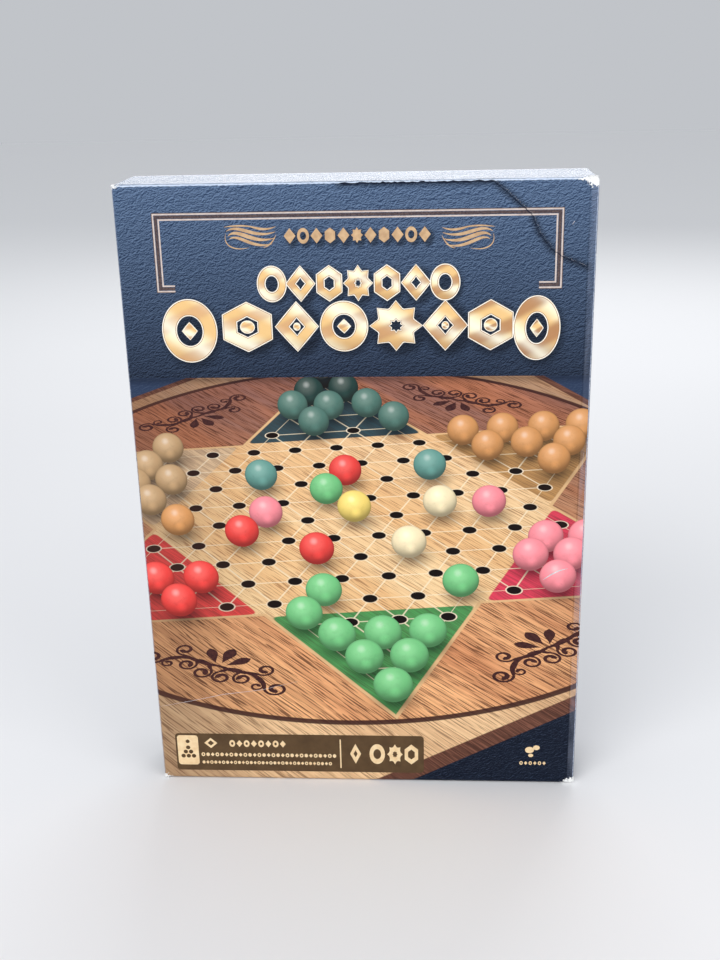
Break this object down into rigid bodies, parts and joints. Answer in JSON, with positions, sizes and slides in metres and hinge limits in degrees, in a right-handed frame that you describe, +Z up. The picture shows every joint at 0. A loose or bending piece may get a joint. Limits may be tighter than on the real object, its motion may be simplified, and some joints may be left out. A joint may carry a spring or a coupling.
{
  "type": "boxed chinese checkers set",
  "caption": "Upright game box with a lift-off printed lid over its base, holding a folding star board, playing balls in a divided tray and a rules leaflet.",
  "frame": {"origin": "middle of the closed box's outline, on the surface that it stands on", "axes": "+Z up the long side, -Y out of the printed face, +X to the right of someone facing that face"},
  "size_m": [0.187, 0.038, 0.267],
  "materials": {
    "printed_paper": "printed, satin varnish, white where the corners are worn",
    "plain_paper": "plain dark blue, matt",
    "chipboard": "grey recycled board",
    "white_card": "coated white one side, matt",
    "corrugated": "brown kraft corrugated, layers glued",
    "board_wood": "satin lacquer, inlaid star",
    "brass": "bright",
    "leaflet_paper": "uncoated white",
    "ball_green": "glossy",
    "ball_red": "glossy",
    "ball_yellow": "glossy",
    "ball_white": "glossy",
    "ball_teal": "glossy",
    "ball_pink": "glossy"
  },
  "bodies": {
    "base": {"base_board": "chipboard", "base_wrap": "plain_paper", "pad_board": "corrugated", "pad_balls": "corrugated"},
    "lid": {"lid_board": "chipboard", "lid_wrap": "printed_paper"},
    "leaflet": {"rules_leaflet": "leaflet_paper"},
    "tray": {"ball_tray": "white_card", "ball_tray_divider_1": "white_card", "ball_tray_divider_2": "white_card", "ball_tray_divider_3": "white_card", "ball_tray_divider_4": "white_card", "ball_tray_divider_5": "white_card"},
    "board": {"board_leaf_rear": "board_wood", "hinge_low_plate_rear": "brass", "hinge_low_pin": "brass", "hinge_high_plate_rear": "brass", "hinge_high_pin": "brass", "screw_low_rear_1": "brass", "screw_low_rear_2": "brass", "screw_high_rear_1": "brass", "screw_high_rear_2": "brass"},
    "board_flap": {"board_leaf_front": "board_wood", "hinge_low_plate_front": "brass", "hinge_high_plate_front": "brass", "screw_low_front_1": "brass", "screw_low_front_2": "brass", "screw_high_front_1": "brass", "screw_high_front_2": "brass"},
    "balls_green": {"balls_green": "ball_green"},
    "balls_red": {"balls_red": "ball_red"},
    "balls_yellow": {"balls_yellow": "ball_yellow"},
    "balls_white": {"balls_white": "ball_white"},
    "balls_teal": {"balls_teal": "ball_teal"},
    "balls_pink": {"balls_pink": "ball_pink"}
  },
  "joints": [
    {"name": "lid_lift", "type": "slide", "parent": "base", "child": "lid", "axis": [0, -1, 0], "range_m": [0, 0.6]},
    {"name": "leaflet_lift", "type": "slide", "parent": "base", "child": "leaflet", "axis": [0, -1, 0], "range_m": [0, 0.54]},
    {"name": "board_lift", "type": "slide", "parent": "base", "child": "board", "axis": [0, -1, 0], "range_m": [0, 0.1]},
    {"name": "board_fold", "type": "hinge", "parent": "board", "child": "board_flap", "pos_m": [-0.086, -0.0038, 0.1335], "axis": [0, 0, -1], "range_deg": [0, 180]},
    {"name": "tray_lift", "type": "slide", "parent": "base", "child": "tray", "axis": [0, -1, 0], "range_m": [0, 0.05]},
    {"name": "balls_green_lift", "type": "slide", "parent": "base", "child": "balls_green", "axis": [0, -1, 0], "range_m": [0, 0.1]},
    {"name": "balls_red_lift", "type": "slide", "parent": "base", "child": "balls_red", "axis": [0, -1, 0], "range_m": [0, 0.1]},
    {"name": "balls_yellow_lift", "type": "slide", "parent": "base", "child": "balls_yellow", "axis": [0, -1, 0], "range_m": [0, 0.1]},
    {"name": "balls_white_lift", "type": "slide", "parent": "base", "child": "balls_white", "axis": [0, -1, 0], "range_m": [0, 0.1]},
    {"name": "balls_teal_lift", "type": "slide", "parent": "base", "child": "balls_teal", "axis": [0, -1, 0], "range_m": [0, 0.1]},
    {"name": "balls_pink_lift", "type": "slide", "parent": "base", "child": "balls_pink", "axis": [0, -1, 0], "range_m": [0, 0.1]}
  ],
  "couplings": [
    {"joint": "leaflet_lift", "follows": "lid_lift", "ratio": 0.88},
    {"joint": "board_lift", "follows": "lid_lift", "ratio": 0.16},
    {"joint": "board_fold", "follows": "lid_lift", "rad_per_m": 5.2359},
    {"joint": "tray_lift", "follows": "lid_lift", "ratio": 0.08},
    {"joint": "balls_green_lift", "follows": "lid_lift", "ratio": 0.14},
    {"joint": "balls_red_lift", "follows": "lid_lift", "ratio": 0.14},
    {"joint": "balls_yellow_lift", "follows": "lid_lift", "ratio": 0.14},
    {"joint": "balls_white_lift", "follows": "lid_lift", "ratio": 0.14},
    {"joint": "balls_teal_lift", "follows": "lid_lift", "ratio": 0.14},
    {"joint": "balls_pink_lift", "follows": "lid_lift", "ratio": 0.14}
  ]
}
